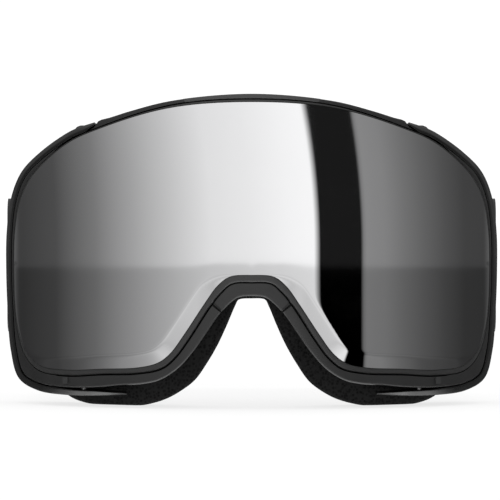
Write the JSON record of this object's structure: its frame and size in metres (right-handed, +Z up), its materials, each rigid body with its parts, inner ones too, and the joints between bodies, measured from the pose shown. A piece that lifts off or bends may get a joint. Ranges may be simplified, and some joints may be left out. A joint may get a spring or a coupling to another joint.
{
  "type": "ski goggles",
  "caption": "Ski goggles with a cylindrical mirrored lens on a magnetic carrier, soft vented frame, layered face foam, hinged outriggers and an elastic strap with sliders.",
  "frame": {"origin": "on the ground under the middle of the goggles and their strap", "axes": "the lens faces -Y, the strap loop lies towards +Y, +X is the viewer's right seen from the front, +Z is up"},
  "size_m": [0.1834, 0.2, 0.1099],
  "materials": {
    "frame_tpu": "satin",
    "frame_hard": "satin",
    "outrigger": "satin",
    "hardware": "satin",
    "steel": "satin",
    "vent_foam": "matte",
    "face_foam": "matte",
    "fleece": "matte",
    "webbing": "matte",
    "silicone": "satin",
    "mirror_lens": "polished",
    "inner_lens": "polished"
  },
  "bodies": {
    "frame": {"main_frame": "frame_tpu", "top_catch": "frame_hard", "nose_bridge": "frame_hard", "frame_keepers": "steel", "hinge_pins": "steel", "vent_foam_top": "vent_foam", "vent_foam_bottom": "vent_foam", "face_foam_base": "face_foam", "face_foam_mid": "face_foam", "face_foam_fleece": "fleece", "strap_rear": "webbing", "strap_grip": "silicone"},
    "lens": {"outer_lens": "mirror_lens", "inner_lens": "inner_lens", "lens_gasket": "vent_foam", "lens_carrier": "frame_hard", "lens_magnets": "steel"},
    "outrigger_right": {"outrigger_right": "outrigger", "strap_anchor_right": "outrigger", "strap_end_right": "webbing"},
    "slider_right": {"slider_right": "hardware"},
    "latch_right": {"latch_right": "hardware"},
    "outrigger_left": {"outrigger_left": "outrigger", "strap_anchor_left": "outrigger", "strap_end_left": "webbing"},
    "slider_left": {"slider_left": "hardware"},
    "latch_left": {"latch_left": "hardware"}
  },
  "joints": [
    {"name": "lens_pull", "type": "slide", "parent": "frame", "child": "lens", "axis": [0, -1, 0], "range_m": [0, 0.06]},
    {"name": "outrigger_hinge_right", "type": "hinge", "parent": "frame", "child": "outrigger_right", "pos_m": [0.06, -0.066, 0.052], "axis": [0, 0, -1], "range_deg": [0, 6]},
    {"name": "slider_slide_right", "type": "slide", "parent": "outrigger_right", "child": "slider_right", "axis": [0, 1, 0], "range_m": [0, 0.012]},
    {"name": "latch_slide_right", "type": "slide", "parent": "frame", "child": "latch_right", "axis": [0.7341, 0.679, 0], "range_m": [0, 0.002], "stiffness_N_per_m": 50},
    {"name": "outrigger_hinge_left", "type": "hinge", "parent": "frame", "child": "outrigger_left", "pos_m": [-0.06, -0.066, 0.052], "axis": [0, 0, 1], "range_deg": [0, 6]},
    {"name": "slider_slide_left", "type": "slide", "parent": "outrigger_left", "child": "slider_left", "axis": [0, 1, 0], "range_m": [0, 0.012]},
    {"name": "latch_slide_left", "type": "slide", "parent": "frame", "child": "latch_left", "axis": [-0.7341, 0.679, 0], "range_m": [0, 0.002], "stiffness_N_per_m": 50}
  ]
}
